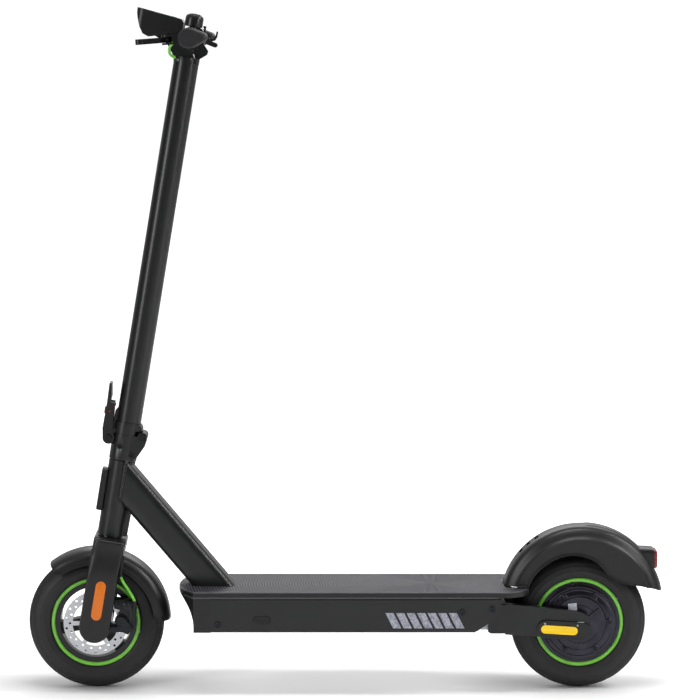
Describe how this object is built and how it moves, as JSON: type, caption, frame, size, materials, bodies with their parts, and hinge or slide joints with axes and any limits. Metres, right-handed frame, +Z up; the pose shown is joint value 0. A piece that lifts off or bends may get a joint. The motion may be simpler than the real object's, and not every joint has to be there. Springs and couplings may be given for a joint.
{
  "type": "electric kick scooter",
  "caption": "Folding electric kick scooter with a disc brake in front, a hub motor behind, a latched folding stem, a flat rubber deck and side reflectors.",
  "frame": {"origin": "on the floor under the centre of the scooter's bounding box", "axes": "+Z up, front of the scooter toward -X, the rider's left toward -Y"},
  "size_m": [1.1915, 0.53, 1.2779],
  "materials": {
    "satin_black": "satin",
    "black_plastic": "matte",
    "mat_rubber": "matte",
    "battery_wrap": "gloss",
    "bare_aluminium": "satin",
    "silver_reflector": "gloss",
    "zinc_steel": "satin",
    "black_oxide": "satin",
    "bearing_steel": "satin",
    "clear_reflector": "gloss",
    "red_lens": "gloss",
    "black_rubber": "matte",
    "amber_reflector": "gloss",
    "green_rubber": "satin",
    "tyre_rubber": "matte",
    "green_ring": "satin",
    "disc_steel": "satin",
    "red_plastic": "satin",
    "display_glass": "gloss",
    "clear_lens": "gloss",
    "grip_rubber": "matte",
    "motor_grey": "satin"
  },
  "bodies": {
    "frame": {"main_frame": "satin_black", "deck_chassis": "satin_black", "deck_front_cap": "black_plastic", "deck_plate": "black_plastic", "deck_mat": "mat_rubber", "bottom_cover": "black_plastic", "battery_pack": "battery_wrap", "controller": "bare_aluminium", "charge_port": "black_plastic", "deck_reflectors": "silver_reflector", "frame_bolts": "black_oxide", "headset_bearings": "bearing_steel", "front_reflector": "clear_reflector", "rear_fender": "black_plastic", "tail_lens": "red_lens", "swing_bracket": "zinc_steel", "suspension_rubber": "black_rubber"},
    "charge_cap": {"charge_cap": "black_rubber"},
    "kickstand": {"kickstand": "satin_black"},
    "steering": {"fork": "satin_black", "fork_covers": "black_plastic", "fork_reflectors": "amber_reflector", "fold_base": "satin_black", "steering_pins": "zinc_steel", "front_fender": "black_plastic", "brake_caliper": "satin_black", "front_axle": "zinc_steel", "lower_hose": "green_rubber"},
    "caliper_arm": {"caliper_arm": "zinc_steel"},
    "front_wheel": {"front_tyre": "tyre_rubber", "front_wheel": "satin_black", "front_rings": "green_ring", "brake_disc": "disc_steel", "disc_screws": "zinc_steel", "front_bearings": "bearing_steel"},
    "latch": {"latch_lever": "satin_black"},
    "safety_catch": {"safety_catch": "red_plastic"},
    "stem": {"fold_collar": "satin_black", "stem_tube": "satin_black", "bar_neck": "satin_black", "handlebar": "satin_black", "head_housing": "black_plastic", "display_glass": "display_glass", "headlight_lens": "clear_lens", "grips": "grip_rubber", "brake_perch": "satin_black", "bell": "satin_black", "throttle_housing": "black_plastic", "stow_hook": "satin_black", "upper_hose": "green_rubber"},
    "brake_lever": {"brake_lever": "satin_black"},
    "throttle": {"throttle_paddle": "black_plastic"},
    "bell_striker": {"bell_striker": "black_plastic"},
    "power_button": {"power_button": "black_plastic"},
    "swing_arm": {"swing_arm": "satin_black", "arm_covers": "black_plastic", "rear_axle": "zinc_steel"},
    "rear_wheel": {"rear_tyre": "tyre_rubber", "rear_rings": "green_ring", "motor_shell": "motor_grey"}
  },
  "joints": [
    {"name": "steering", "type": "hinge", "parent": "frame", "child": "steering", "pos_m": [-0.42954, 0, 0.36132], "axis": [0.1633, 0, 0.9866], "range_deg": [-45, 45]},
    {"name": "front_wheel_spin", "type": "hinge", "parent": "steering", "child": "front_wheel", "pos_m": [-0.46825, 0, 0.1275], "axis": [0, 1, 0], "continuous": true},
    {"name": "fold", "type": "hinge", "parent": "steering", "child": "stem", "pos_m": [-0.37887, 0, 0.4776], "axis": [0, 1, 0], "range_deg": [0, 93]},
    {"name": "latch_lever", "type": "hinge", "parent": "steering", "child": "latch", "pos_m": [-0.44298, 0, 0.47605], "axis": [0, -1, 0], "range_deg": [0, 100]},
    {"name": "safety_catch", "type": "hinge", "parent": "latch", "child": "safety_catch", "pos_m": [-0.43975, 0, 0.5262], "axis": [0, -1, 0], "range_deg": [0, 15], "stiffness_Nm_per_rad": 0.3, "springref_deg": -11.46},
    {"name": "brake_lever", "type": "hinge", "parent": "stem", "child": "brake_lever", "pos_m": [-0.32391, -0.12, 1.21792], "axis": [-0.0802, 0, 0.9968], "range_deg": [0, 20], "stiffness_Nm_per_rad": 2, "springref_deg": -5.73},
    {"name": "caliper_arm", "type": "hinge", "parent": "steering", "child": "caliper_arm", "pos_m": [-0.41823, -0.065, 0.13696], "axis": [0, -1, 0], "range_deg": [0, 15]},
    {"name": "throttle", "type": "hinge", "parent": "stem", "child": "throttle", "pos_m": [-0.28005, 0.127, 1.22145], "axis": [0, 1, 0], "range_deg": [0, 25], "stiffness_Nm_per_rad": 0.3, "springref_deg": -11.46},
    {"name": "bell_striker", "type": "hinge", "parent": "stem", "child": "bell_striker", "pos_m": [-0.25737, -0.112, 1.22378], "axis": [0, 1, 0], "range_deg": [0, 25], "stiffness_Nm_per_rad": 0.1, "springref_deg": -11.46},
    {"name": "suspension", "type": "hinge", "parent": "frame", "child": "swing_arm", "pos_m": [0.277, 0, 0.124], "axis": [0, -1, 0], "range_deg": [0, 6], "stiffness_Nm_per_rad": 400, "springref_deg": -8.59, "deforming": ["suspension_rubber"]},
    {"name": "rear_wheel_spin", "type": "hinge", "parent": "swing_arm", "child": "rear_wheel", "pos_m": [0.44075, 0, 0.1275], "axis": [0, 1, 0], "continuous": true},
    {"name": "kickstand", "type": "hinge", "parent": "frame", "child": "kickstand", "pos_m": [-0.06, 0.071, 0.107], "axis": [0, 0.9527, 0.304], "range_deg": [0, 100]},
    {"name": "charge_cap", "type": "hinge", "parent": "frame", "child": "charge_cap", "pos_m": [-0.1415, -0.0968, 0.1445], "axis": [0, 0, 1], "range_deg": [0, 100]},
    {"name": "power_button", "type": "slide", "parent": "stem", "child": "power_button", "axis": [-0.2675, 0, -0.9636], "range_m": [0, 0.001], "stiffness_N_per_m": 400, "springref_m": -0.001}
  ],
  "couplings": [
    {"joint": "caliper_arm", "follows": "brake_lever", "ratio": 0.75}
  ]
}
